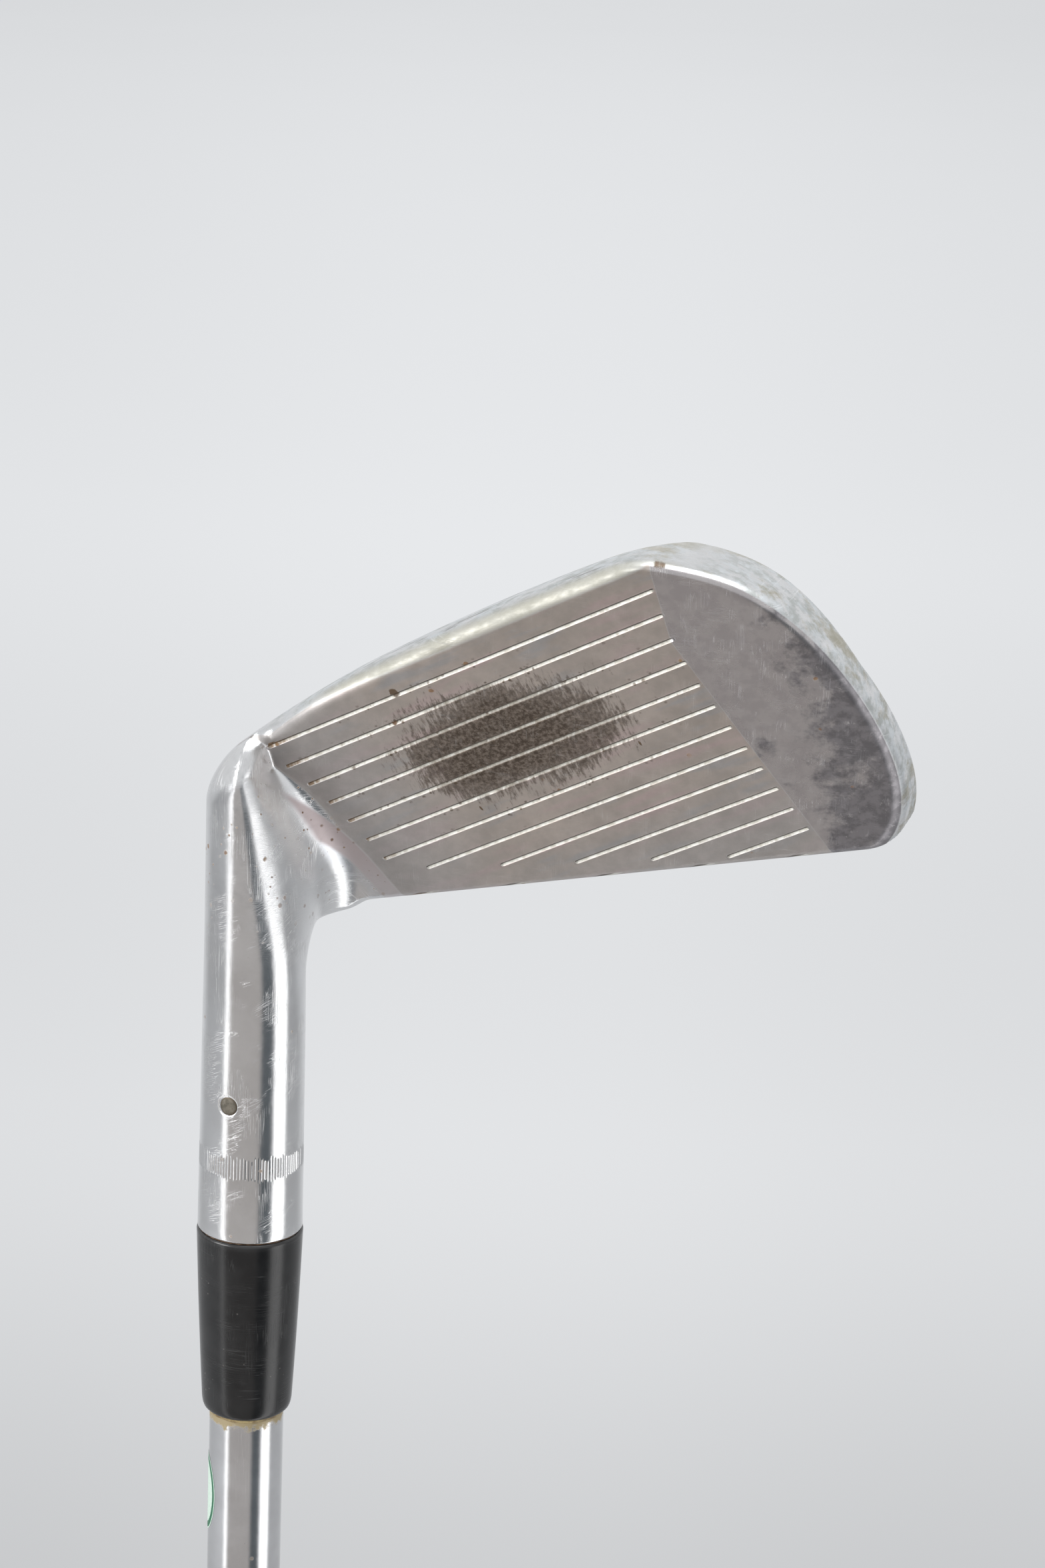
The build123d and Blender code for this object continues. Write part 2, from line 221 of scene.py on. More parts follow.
def sole_field(x, h, y):
    """The sole, curved from front to back and from heel to toe, with a rounded heel corner."""
    dy = np.clip(y - SOLE_MID, -22, 22)
    drop = SOLE_CAMBER_R - np.sqrt(SOLE_CAMBER_R**2 - dy**2)
    rise = SOLE_LENGTH_R - np.hypot(x - SOLE_CENTRE, h - SOLE_LENGTH_R)
    under = (drop - rise) * np.sqrt(1 - (dy / SOLE_CAMBER_R) ** 2)
    heel = -HEEL_OUT * (x - HEEL_X) - HEEL_DOWN * (h - HEEL_H)
    return rounded_max(under, heel, 6.0)


def neck_fillet(across, along, n):
    """Radius of the hollow between neck and blade: wide up the neck, tight at the heel."""
    fillet = 0.3 + 11.5 * (1 - np.exp(-np.maximum(along - 7.8, 0) / 11.5))
    fillet = np.minimum(fillet, np.clip(4.5 + 0.7 * (across + HOSEL_R), 4.0, 12))
    return fillet + (5.5 - fillet) * np.clip(n / 8, 0, 1)


def head_field(x, b, n):
    """Distance-like field of the head: below zero inside the steel."""
    y = FACE_FOOT + sin(LOFT) * b + cos(LOFT) * n
    h = cos(LOFT) * b - sin(LOFT) * n
    across = sin(LIE) * x + cos(LIE) * h
    along = sin(LIE) * h - cos(LIE) * x
    top = (h - TOP_LINE_H - TOP_LINE_SLOPE * (x - TOP_LINE_X)) * TOP_LINE_COS
    blade = rounded_max(back_field(b, n, y, h), -across - 1.0, 6.0)
    blade = rounded_max(blade, (score_depth(x, b) - n) * 0.8, 0.1)
    blade = rounded_max(blade, top - 1.0, 0.7)
    body = rounded_min(neck_field(across, along, y), blade, neck_fillet(across, along, n))
    # the crotch between the top line and the hosel
    crotch = rounded_min(top, across - 6.45 - 0.07 * np.maximum(along - 32, 0), 3.3)
    body = rounded_max(body, crotch, 0.7)
    body = rounded_max(body, toe_field(x, h), 1.5)
    soft = 1.2 + 0.9 * np.clip((56 - x) / 8, 0, 1) + 2.2 * np.clip((8 - x) / 13, 0, 1) ** 1.3
    return rounded_max(body, sole_field(x, h, y), soft)


# -------- meshes from fields and profiles
def spaced(start, *runs):
    """Grid lines from start, in runs of (end, step)."""
    out = [start]
    for end, step in runs:
        count = max(1, round((end - out[-1]) / step))
        out += list(np.linspace(out[-1], end, count + 1)[1:])
    return np.array(out)


def surface(field, gx, gb, gn):
    """Quads of the field's zero surface on a grid with uneven lines (surface nets)."""
    shape = (len(gx), len(gb), len(gn))
    f = np.empty(shape, np.float32)
    for i, x in enumerate(gx):
        f[i] = field(np.float32(x), gb[:, None].astype(np.float32), gn[None, :].astype(np.float32))
    inside = f < 0
    cells = tuple(s - 1 for s in shape)
    total = cells[0] * cells[1] * cells[2]
    count = np.zeros(total)
    summed = np.zeros((3, total))
    grids = (gx, gb, gn)
    quads = []
    for axis in range(3):
        lo = [slice(None)] * 3
        hi = [slice(None)] * 3
        lo[axis] = slice(0, -1)
        hi[axis] = slice(1, None)
        cross = inside[tuple(lo)] != inside[tuple(hi)]
        at = np.array(np.nonzero(cross))
        a = f[tuple(lo)][cross].astype(float)
        z = f[tuple(hi)][cross].astype(float)
        point = np.array([grids[k][at[k]] for k in range(3)])
        point[axis] += a / (a - z) * (grids[axis][at[axis] + 1] - grids[axis][at[axis]])
        u = (axis + 1) % 3
        v = (axis + 2) % 3
        ring = []
        good = np.ones(at.shape[1], bool)
        for du, dv in ((-1, -1), (0, -1), (0, 0), (-1, 0)):
            c = at.copy()
            c[u] += du
            c[v] += dv
            good &= (c[u] >= 0) & (c[v] >= 0) & (c[u] < cells[u]) & (c[v] < cells[v])
            ring.append(c)
        last = np.array(cells)[:, None] - 1
        index = [np.ravel_multi_index(np.clip(c, 0, last), cells) for c in ring]
        for c, i in zip(ring, index):
            ok = np.all([(c[k] >= 0) & (c[k] < cells[k]) for k in range(3)], axis=0)
            count += np.bincount(i[ok], minlength=total)
            for k in range(3):
                summed[k] += np.bincount(i[ok], point[k][ok], minlength=total)
        ring = np.array(index)[:, good]
        flip = a[good] > 0
        ring[:, flip] = ring[::-1, flip]
        quads.append(ring.T)
    used, quads = np.unique(np.concatenate(quads), return_inverse=True)
    return (summed[:, used] / count[used]).T, quads.reshape(-1, 4)


def gradient(field, p, e=0.02):
    """Gradient of the field at points p."""
    d = np.eye(3) * e
    return np.array([field(*(p + d[k]).T) - field(*(p - d[k]).T) for k in range(3)]).T / (2 * e)


def settle(field, p, rounds=5):
    """Moves points onto the zero surface, and returns them with the outward normals."""
    start = p.copy()
    for _ in range(rounds):
        g = gradient(field, p)
        move = -(field(*p.T) / np.maximum((g**2).sum(1), 0.05))[:, None] * g
        far = np.linalg.norm(move, axis=1)[:, None]
        p = p + move * np.minimum(1, 0.2 / np.maximum(far, 1e-9))
    away = np.linalg.norm(p - start, axis=1) > 0.7
    p[away] = start[away]
    g = gradient(field, p)
    return p, g / np.linalg.norm(g, axis=1)[:, None]


def new_piece(name, slot, points, quads, normals=None):
    """A smooth mesh piece from points in millimetres in the part's frame."""
    mesh = bpy.data.meshes.new(name)
    mesh.vertices.add(len(points))
    mesh.vertices.foreach_set("co", (np.asarray(points) * 0.001).astype(np.float32).ravel())
    mesh.loops.add(quads.size)
    mesh.loops.foreach_set("vertex_index", quads.astype(np.int32).ravel())
    mesh.polygons.add(len(quads))
    mesh.polygons.foreach_set("loop_start", np.arange(0, quads.size, 4, dtype=np.int32))
    mesh.polygons.foreach_set("loop_total", np.full(len(quads), 4, np.int32))
    mesh.polygons.foreach_set("use_smooth", np.ones(len(quads), bool))
    mesh.update(calc_edges=True)
    mesh.validate()
    if normals is not None:
        mesh.normals_split_custom_set_from_vertices(normals.astype(float).tolist())
    piece = bpy.data.objects.new(name, mesh)
    bpy.context.scene.collection.objects.link(piece)
    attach(piece, "root")
    return piece


def ring_quads(rings, around):
    """Quads between rings of points, with 'around' points in each."""
    i = np.arange(rings - 1)[:, None] * around
    j = np.arange(around)[None]
    k = (j + 1) % around
    return np.stack([i + j, i + k, i + around + k, i + around + j], -1).reshape(-1, 4)


def lathe(profile, around, shape=None):
    """Points and quads of a profile of (radius, z) turned about Z; shape changes the radius."""
    profile = np.array(profile, float)
    turn = np.arange(around) * 2 * pi / around
    r = np.repeat(profile[:, :1], around, 1)
    z = np.repeat(profile[:, 1:], around, 1)
    a = np.repeat(turn[None], len(profile), 0)
    if shape is not None:
        r = r + shape(a, z, r)
    points = np.stack([r * np.sin(a), -r * np.cos(a), z], -1).reshape(-1, 3)
    return points, ring_quads(len(profile), around)


# -------- head and hosel
def make_head():
    """The blade and the neck, as far up the hosel as the sleeve."""
    fine = []
    for k in range(LINES):
        middle = FIRST_LINE + LINE_PITCH * k
        fine += [(middle - 0.6, 0.5), (middle + 0.6, 0.1)]
    gx = spaced(-26.5, (-12, 0.6), (69.6, 0.42))
    gb = spaced(-3.2, (4, 0.35), *fine, (49, 0.4), (54, 0.45))
    gn = spaced(-26.0, (-2, 0.55), (-0.15, 0.3), (0.55, 0.1), (3.4, 0.3), (17.5, 0.5))
    found, quads = surface(head_field, gx, gb, gn)
    found, turned = settle(head_field, found)
    h = cos(LOFT) * found[:, 1] - sin(LOFT) * found[:, 2]
    along = sin(LIE) * h - cos(LIE) * found[:, 0]
    quads = quads[(along[quads] < SLEEVE + 0.4).all(1)]
    keep, quads = np.unique(quads, return_inverse=True)
    turned = turned[keep]
    normals = turned[:, :1] * TOE + turned[:, 1:2] * UP_FACE + turned[:, 2:] * INTO
    points = to_part(*found[keep].T)
    piece = new_piece("head_forging", "head_chrome", points, quads.reshape(-1, 4), normals)
    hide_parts("head")
    return piece


def hosel_marks(a, z, r):
    """Knurl cuts and the ring round the pin, as changes of radius."""
    turn = a * KNURL_COUNT / (2 * pi)
    cut = np.rint(turn)
    luck = np.abs(np.sin(cut * 12.9898) * 43758.5453) % 1
    other = np.abs(np.sin(cut * 78.233) * 24634.63) % 1
    low = KNURL_LOW + 0.5 * luck
    high = KNURL_HIGH - 0.6 * other
    ends = np.clip(np.minimum(z - low, high - z) / 0.25, 0, 1)
    width = 0.17 + 0.08 * other
    notch = np.exp(-(((turn - cut) / width) ** 2)) * ends * (0.03 + 0.06 * luck)
    front = np.abs((a + pi) % (2 * pi) - pi + 0.017)
    behind = np.abs(a % (2 * pi) - pi)
    ring = np.hypot(np.minimum(front, behind) * HOSEL_R_AT_PIN, z - PIN_Z)
    seat = 0.07 * np.exp(-(((ring - 1.28) / 0.09) ** 2)) + 0.03 * (ring < 1.2)
    return -notch - seat


def make_sleeve():
    """The hosel's round length, with the knurled band and the seat of the pin."""
    heights = spaced(
        JOINT, (JOINT + 0.3, 0.1), (JOINT + 8.3, 1.0), (JOINT + 9.4, 0.12), (JOINT + 11.2, 0.6),
        (JOINT + 12.2, 0.12), (PIN_Z - 1.6, 0.8), (PIN_Z + 1.6, 0.08), (CLUB - SLEEVE + 0.5, 0.8))
    radii = hosel_radius(CLUB - heights) - np.maximum(0, 0.22 - (heights - JOINT))
    profile = [(5.2, JOINT + 0.02), (hosel_radius(CLUB - JOINT) - 0.25, JOINT + 0.02)]
    profile += zip(radii, heights)
    points, quads = lathe(profile[::-1], 800, hosel_marks)
    points[:, 2] = np.clip(points[:, 2], JOINT, None)
    return new_piece("hosel_sleeve", "head_chrome", points, quads[:, ::-1])


head = make_head()
sleeve = make_sleeve()

# -------- ferrule, bond, shaft, pin and label
FERRULE_LENGTH = 25.4
BUTT_R = 7.62
TIP_R = 4.82
WALL = 0.45
SHAFT_START = 7.5
TIP_Z = JOINT + 34
STEPS = 14
FIRST_STEP_Z = 285.0
STEP_PITCH = 36.5
STEP_LENGTH = 1.2
LABEL_TURN = radians(-62)      # round the shaft from the front, towards the toe
LABEL_Z = JOINT - 37.9
LABEL_HALF_HEIGHT = 5.6
LABEL_HALF_WIDTH = 2.9
LABEL_R = 4.875


def from_joint(*profile):
    """A profile of (radius, z) whose heights are given from the ferrule joint."""
    return [(r, JOINT + z) for r, z in profile]


def make_ferrule():
    """Tapered collar with a slight bulge, a rounded lower end and a lip at the joint."""
    collar = from_joint((4.9, -25.3), (5.1, -25.38), (5.42, -25.3), (5.62, -25.1), (5.75, -24.75))
    for t in np.linspace(0.05, 1, 28):
        radius = 5.78 + 1.05 * t + 0.075 * sin(pi * t)
        collar.append((radius, JOINT - FERRULE_LENGTH * (1 - t) - 0.65 * t))
    collar += from_joint((6.84, -0.5), (6.78, -0.22), (6.62, -0.12), (5.2, -0.12))
    piece = new_piece("ferrule_collar", "ferrule_plastic", *lathe(collar, 256))
    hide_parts("ferrule")
    return piece


def uneven_glue(a, z, r):
    """The free edge of the glue wanders."""
    return 0.09 * np.sin(a * 3 + 2) * np.sin(a * 7) * (z < JOINT - 25.3)


def uneven_bead(a, z, r):
    """The outer side of the bead is lumpy."""
    return 0.05 * np.sin(a * 9 + 1) * np.sin(a * 23) * (r > 6)


def make_glue_ring():
    """Glue that came out under the ferrule onto the shaft."""
    profile = from_joint((4.8, -25.95), (4.95, -25.9), (5.06, -25.7), (5.1, -25.4), (5.08, -25.2))
    return new_piece("glue_ring", "bond", *lathe(profile, 192, uneven_glue))


def make_joint_bead():
    """The thin line of bond between the ferrule and the hosel."""
    profile = from_joint((5.3, -0.16), (6.44, -0.16), (6.54, -0.08), (6.56, 0), (6.5, 0.06), (5.3, 0.06))
    return new_piece("joint_bead", "bond", *lathe(profile, 256, uneven_bead))


def shaft_profile():
    """Outside of the shaft, which steps down from the butt to the tip through smooth shoulders."""
    drop = (BUTT_R - TIP_R) / STEPS
    tube = [(BUTT_R - WALL, SHAFT_START), (7.45, SHAFT_START), (BUTT_R, SHAFT_START + 0.2)]
    for i in range(STEPS):
        for t in (0, 0.15, 0.35, 0.5, 0.65, 0.85, 1):
            radius = BUTT_R - drop * (i + t * t * (3 - 2 * t))
            tube.append((radius, FIRST_STEP_Z + STEP_PITCH * i + STEP_LENGTH * t))
    tube += [(TIP_R, z) for z in np.linspace(765, TIP_Z - 0.5, 24)]
    return tube + [(4.65, TIP_Z), (TIP_R - WALL, TIP_Z)]


def make_shaft():
    """The tube's outside."""
    piece = new_piece("shaft_tube", "shaft_chrome", *lathe(shaft_profile(), 160))
    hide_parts("shaft")
    return piece


def make_shaft_inside():
    """The tube's inside."""
    inner = [(max(r - WALL, TIP_R - WALL), z) for r, z in shaft_profile()]
    points, quads = lathe(inner, 96)
    return new_piece("shaft_inside", "shaft_chrome", points, quads[:, ::-1])


def pin_end(side, around=48):
    """Domed end of the pin, laid on the hosel's round surface: side is -1 in front, 1 behind."""
    dome = [(0, 0.03), (0.35, 0.03), (0.7, 0.025), (0.95, 0.015), (1.1, -0.005), (1.2, -0.04),
            (PIN_R, -0.09), (PIN_R, -0.5)]
    points = []
    for r, up in dome:
        for t in np.arange(around) * 2 * pi / around:
            across = r * cos(t)
            high = PIN_Z + r * sin(t)
            hull = np.sqrt(hosel_radius(CLUB - high) ** 2 - across**2)
            points.append((across, side * (hull + up), high))
    quads = ring_quads(len(dome), around)
    return points, quads if side < 0 else quads[:, ::-1]


def make_pin():
    """Both filed ends of the pin."""
    front, front_quads = pin_end(-1)
    behind, behind_quads = pin_end(1)
    quads = np.concatenate([front_quads, behind_quads + len(front)])
    piece = new_piece("pin_ends", "pin_steel", front + behind, quads)
    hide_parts("hosel_pin")
    return piece


def make_label(rings=14, around=96):
    """A thin oval skin round the shaft, its edge turned down to the steel."""
    points = []
    for i in range(rings + 1):
        out = i / rings
        radius = LABEL_R - (0.03 if i == rings else 0)
        for t in np.arange(around) * 2 * pi / around:
            turn = LABEL_TURN + LABEL_HALF_WIDTH * out * cos(t) / 4.85
            high = LABEL_Z + LABEL_HALF_HEIGHT * out * sin(t)
            points.append((radius * sin(turn), -radius * cos(turn), high))
    piece = new_piece("label_skin", "label_paper", points, ring_quads(rings + 1, around))
    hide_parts("shaft_label")
    return piece


ferrule = make_ferrule()
glue_ring = make_glue_ring()
joint_bead = make_joint_bead()
shaft = make_shaft()
shaft_inside = make_shaft_inside()
pin = make_pin()
label = make_label()

# -------- grip and cap
GRIP_Z = np.array([4.0, 30.0, 100.0, 190.0, 255.0, 261.0])
GRIP_R = np.array([14.2, 12.9, 11.1, 9.7, 9.1, 9.6])
BAND_START = 22
BAND = 26.0                    # height of one band of the pattern
CUTS_AROUND = 16


def bump_at(distance, width=0.5):
    """A smooth bump, 1 where the distance is 0."""
    return np.exp(-((distance / width) ** 2))


def grip_shape(a, z, r):
    """Moulded pattern: slanting cuts in bands, a ring between bands and two rings at the mouth."""
    band = (z - BAND_START) / BAND
    above = (band % 1) * BAND
    inside = np.clip(np.minimum(above, BAND - above) - 1.6, 0, 1) * (z > BAND_START) * (z < 230)
    way = np.where(np.floor(band) % 2 < 1, 1.0, -1.0)
    turn = (a * CUTS_AROUND / (2 * pi) + way * z / 9.0) % 1
    cut = bump_at(turn - 0.5, 0.10) * inside
    ring = (bump_at(above) + bump_at(BAND - above)) * (z > 20) * (z < 232)
    lip = bump_at(z - 246) + bump_at(z - 250)
    outer = (z > 4.2) & (z < 262)
    return outer * -1.0 * (0.42 * cut + 0.32 * np.clip(ring, 0, 1) + 0.3 * lip)


def make_grip():
    """Tapered rubber sleeve with a thicker mouth."""
    runs = ((4.4, 20, 20), (20.4, 236, 540), (236.6, 255, 60))
    heights = np.concatenate([np.linspace(*run) for run in runs])
    line = [(7.85, 4.0), (13.6, 4.0), (14.05, 4.12)]
    line += zip(natural_spline(GRIP_Z, GRIP_R, heights), heights)
    line += [(9.32, 256.6), (9.5, 258.4), (9.6, 260.5), (9.6, 262.5), (9.5, 264.6), (9.3, 266.3)]
    line += [(9.05, 266.95), (8.8, 267.0), (7.8, 267.0)]
    piece = new_piece("grip_sleeve", "grip_rubber", *lathe(line, 320, grip_shape))
    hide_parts("grip")
    return piece


def make_cap():
    """Butt end moulding: two round grooves about the vent hole, and a rounded rim."""
    disc = [(1.7, 4.0), (1.75, 0.35), (1.95, 0.05), (2.3, 0.0)]
    for groove in (5.6, 9.3):
        disc += [(groove, 0.0), (groove + 0.15, 0.06), (groove + 0.25, 0.35)]
        disc += [(groove + 0.5, 0.35), (groove + 0.6, 0.06), (groove + 0.75, 0.0)]
    disc.append((12.2, 0.0))
    disc += [(12.2 + 2.0 * sin(t), 2.0 - 2.0 * cos(t)) for t in np.linspace(0.15, pi / 2, 9)]
    disc += [(14.2, 3.7), (14.05, 3.98), (13.5, 4.0)]
    piece = new_piece("butt_cap", "cap_rubber", *lathe(disc, 192))
    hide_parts("grip_cap")
    return piece


grip = make_grip()
cap = make_cap()

# -------- camera, in metres
EYE = Vector((0.181227, -0.350629, 1.046931))
VIEW_TURN = radians(22.5959)
VIEW_DROP = radians(16.4322)
VIEW_ROLL = radians(2.4450)


def make_camera():
    """A camera in front of the toe side that looks down a little and is slightly rolled."""
    camera = bpy.data.cameras.new("camera")
    camera.sensor_width = 36
    camera.lens = 76.27
    camera.clip_start = 0.01
    camera.clip_end = 500
    eye = bpy.data.objects.new("camera", camera)
    turn = Matrix.Rotation(VIEW_TURN, 4, "Z") @ Matrix.Rotation(pi / 2 - VIEW_DROP, 4, "X")
    eye.matrix_world = Matrix.Translation(EYE) @ turn @ Matrix.Rotation(VIEW_ROLL, 4, "Z")
    bpy.context.scene.collection.objects.link(eye)
    bpy.context.scene.camera = eye


make_camera()


# -------- node helpers
class Value:
    """A node socket that does arithmetic."""

    def __init__(self, graph, socket):
        self.graph = graph
        self.socket = socket

    def __add__(self, o):
        return self.graph.math("ADD", self, o)

    def __sub__(self, o):
        return self.graph.math("SUBTRACT", self, o)

    def __rsub__(self, o):
        return self.graph.math("SUBTRACT", o, self)

    def __mul__(self, o):
        return self.graph.math("MULTIPLY", self, o)

    def __truediv__(self, o):
        return self.graph.math("DIVIDE", self, o)

    def __pow__(self, o):
        return self.graph.math("POWER", self, o)

    __radd__ = __add__
    __rmul__ = __mul__

    def most(self, o):
        """The larger of the two."""
        return self.graph.math("MAXIMUM", self, o)

    def size(self):
        """The value without its sign."""
        return self.graph.math("ABSOLUTE", self)

    def ramp(self, low, high, a=0.0, b=1.0):
        """Smooth step from a at low to b at high."""
        node = self.graph.new("ShaderNodeMapRange", interpolation_type="SMOOTHSTEP")
        for i, v in enumerate((self, low, high, a, b)):
            self.graph.put(node.inputs[i], v)
        return Value(self.graph, node.outputs[0])


class Graph:
    """A material with a Principled shader, built from short calls. Lengths are millimetres."""

    def __init__(self, name):
        self.material = bpy.data.materials.new(name)
        self.material.use_nodes = True
        self.tree = self.material.node_tree
        self.shader = next(n for n in self.tree.nodes if n.type == "BSDF_PRINCIPLED")
        metres = self.new("ShaderNodeTexCoord").outputs["Object"]
        self.place = self.vector("SCALE", metres, scale=1000.0)

    def new(self, kind, **settings):
        """A new node with its settings."""
        node = self.tree.nodes.new(kind)
        for k, v in settings.items():
            setattr(node, k, v)
        return node

    def put(self, socket, value):
        """Feeds a socket with a constant, a socket or a Value."""
        if isinstance(value, Value):
            value = value.socket
        if isinstance(value, bpy.types.NodeSocket):
            self.tree.links.new(value, socket)
        else:
            socket.default_value = value

    def math(self, kind, *values):
        """A sum or function of values."""
        node = self.new("ShaderNodeMath", operation=kind)
        for i, v in enumerate(values):
            self.put(node.inputs[i], v)
        return Value(self, node.outputs[0])

    def vector(self, kind, a, b=None, scale=None):
        """A sum or function of vectors."""
        node = self.new("ShaderNodeVectorMath", operation=kind)
        self.put(node.inputs[0], a)
        if b is not None:
            self.put(node.inputs[1], b)
        if scale is not None:
            node.inputs["Scale"].default_value = scale
        return node.outputs["Value" if kind == "DOT_PRODUCT" else "Vector"]

    def along(self, direction, origin=(0, 0, 0)):
        """Distance along a direction from an origin."""
        shift = float(np.dot(direction, origin))
        return Value(self, self.vector("DOT_PRODUCT", self.place, tuple(map(float, direction)))) - shift

    def axes(self):
        """Distances along the part's own three axes."""
        return self.along((1, 0, 0)), self.along((0, 1, 0)), self.along((0, 0, 1))

    def join(self, x, y, z=0.0):
        """A vector of three values."""
        node = self.new("ShaderNodeCombineXYZ")
        for i, v in enumerate((x, y, z)):
            self.put(node.inputs[i], v)
        return node.outputs[0]

    def noise(self, scale, detail=3.0, rough=0.55, at=None):
        """Cloudy noise, 0.5 on average."""
        node = self.new("ShaderNodeTexNoise")
        self.put(node.inputs["Vector"], self.place if at is None else at)
        node.inputs["Scale"].default_value = scale
        node.inputs["Detail"].default_value = detail
        node.inputs["Roughness"].default_value = rough
        return Value(self, node.outputs["Fac"])

    def cells(self, scale, at=None):
        """Distance to the nearest of many scattered points."""
        node = self.new("ShaderNodeTexVoronoi", feature="F1")
        self.put(node.inputs["Vector"], self.place if at is None else at)
        node.inputs["Scale"].default_value = scale
        return Value(self, node.outputs["Distance"])

    def blend(self, part, a, b, how="MIX"):
        """Colour a where part is 0 and b where it is 1."""
        node = self.new("ShaderNodeMix", data_type="RGBA", blend_type=how)
        self.put(node.inputs["Factor"], part)
        for i, v in ((6, a), (7, b)):
            self.put(node.inputs[i], (*v, 1.0) if isinstance(v, tuple) else v)
        return node.outputs[2]

    def grade(self, colour, value):
        """A colour made lighter or darker by a value."""
        return self.blend(1.0, colour, self.join(value, value, value), "MULTIPLY")

    def bump(self, height, strength, distance=0.1, after=None):
        """A normal from a height, on top of the normal 'after'. The distance is in millimetres."""
        node = self.new("ShaderNodeBump")
        node.inputs["Strength"].default_value = strength
        node.inputs["Distance"].default_value = distance * 0.001
        self.put(node.inputs["Height"], height)
        if after is not None:
            self.put(node.inputs["Normal"], after)
        return node.outputs["Normal"]

    def finish(self, colour, rough, normal, metal=None, **fixed):
        """Feeds the shader, sets its fixed sockets and returns the material."""
        for name, v in (("Base Color", colour), ("Roughness", rough), ("Normal", normal)):
            self.put(self.shader.inputs[name], v)
        if metal is not None:
            self.put(self.shader.inputs["Metallic"], metal)
        for name, v in fixed.items():
            self.shader.inputs[name].default_value = v
        return self.material


def wear(obj, material):
    """Gives an object its one material."""
    obj.data.materials.clear()
    obj.data.materials.append(material)


def specks(g, size, share, seed=0.0):
    """Scattered round specks: size is their spacing in mm, share how much of a cell one may fill."""
    shifted = g.vector("ADD", g.place, (seed, seed * 1.7, seed * 0.6))
    dots = g.cells(1.0 / size, at=shifted)
    ragged = g.noise(3.0 / size, 3.0, 0.6, at=shifted)
    gate = g.noise(0.35 / size, 2.0, 0.5, at=shifted)
    return (dots + (ragged - 0.5) * 0.16).ramp(share * 0.55, share, 1.0, 0.0) * gate.ramp(0.5, 0.56)


def scratches(g, u, v, fine, stretch, share, seed):
    """Thin straight scratches along u: 1 in a scratch, 0 elsewhere."""
    line = g.noise(1.0, 1.0, 0.4, at=g.join(u * stretch + seed, v * fine, seed))
    gate = g.noise(1.0, 2.0, 0.5, at=g.join(u * 0.15, v * 0.2, seed + 5.0))
    return (line - 0.5).size().ramp(0.0, share, 1.0, 0.0) * gate.ramp(0.50, 0.62)


def turning(g, x, y, z):
    """The angle round the shaft's axis from the front, and turning marks that run round it."""
    angle = g.math("ARCTAN2", x, y * -1.0)
    return angle, g.noise(1.0, 4.0, 0.7, at=g.join(angle * 3.0, z * 9.0))


# -------- head material: where things are
PATCH_X = 26.6                 # middle of the dark patch where the ball strikes
PATCH_B = 18.4
PATCH_HALF_WIDTH = 16.5
PATCH_HALF_HEIGHT = 9.2

steel = Graph("head_finish")
x = steel.along(TOE, FOOT)
b = steel.along(UP_FACE, FOOT)
n = steel.along(INTO, FOOT)
h = steel.along(UP, GROUND)
y = steel.along(BACK)
along = h * sin(LIE) - steel.along(TOE, GROUND) * cos(LIE)
shaft_x, shaft_y, shaft_z = steel.axes()
angle, streak = turning(steel, shaft_x, shaft_y, shaft_z)
cloud = steel.noise(0.12, 4.0, 0.6)
mottle = steel.noise(0.55, 5.0, 0.65)

# the flat face: blasted between its heel edge and the toe line, smooth beyond
from_edge = x - (((28.0 - b).most(0.0) / 19.0) ** 1.6 * -2.9 - 0.1)
from_toe_line = x - ((14.0 - b).most(0.0) * 0.33 + 52.8)
flat = n.ramp(-0.16, -0.05) * n.ramp(0.55, 0.75, 1.0, 0.0) * b.ramp(2.9, 3.4)
in_face = flat * from_edge.ramp(-0.25, 0.25)
off_face = 1.0 - in_face
blasted = in_face * from_toe_line.ramp(-0.12, 0.12, 1.0, 0.0)
smooth_toe = in_face * from_toe_line.ramp(-0.12, 0.12)
blotch = (steel.noise(0.16, 6.0, 0.68) + (x - 60.0) * 0.020 + (b - 34.0) * 0.011).ramp(0.44, 0.60)

# sole and toe rim, with stains, and the yellowed leading edge
toe_rim = ((x - TOE_X) ** 2.0 + (h - TOE_H) ** 2.0) ** 0.5
sole = off_face * h.ramp(1.5, 5.0, 1.0, 0.0).most(toe_rim.ramp(21.3, 22.6) * x.ramp(46.0, 56.0))
sole = sole * x.ramp(-6.0, 2.0)
haze = steel.noise(1.0, 6.0, 0.72, at=steel.join(x * 0.25, y * 0.5, h * 0.5))
stain = steel.noise(0.13, 5.0, 0.7).ramp(0.50, 0.62) * x.ramp(40.0, 54.0)
yellow = off_face * n.ramp(0.9, 2.6, 1.0, 0.0) * x.ramp(4.0, 14.0) * b.ramp(5.0, 7.0, 1.0, 0.0)
yellow = yellow * x.ramp(50.0, 60.0, 1.0, 0.4)

# neck, and the satin band and hollow that lie beside the face, coloured with a painted reflection and
# painted shade
neck = off_face * along.ramp(16.0, 36.0, 1.0, 0.0) * x.ramp(6.0, 16.0, 1.0, 0.0)
beside = neck * from_edge.ramp(-0.25, 0.25, 1.0, 0.0) * n.ramp(-2.4, -1.4) * b.ramp(7.0, 14.0)
# a rougher satin band; its darker rosy colour is a painted reflection
satin_margin_and_reflection = beside * n.ramp(1.2, 2.0, 1.0, 0.0) * from_edge.ramp(-2.7, -2.1)
# the hollow's blue-grey colour is painted shade, which also dims the highlight there
hollow = beside * n.ramp(2.0, 3.5, 1.0, 0.0) * from_edge.ramp(-4.6, -3.2)

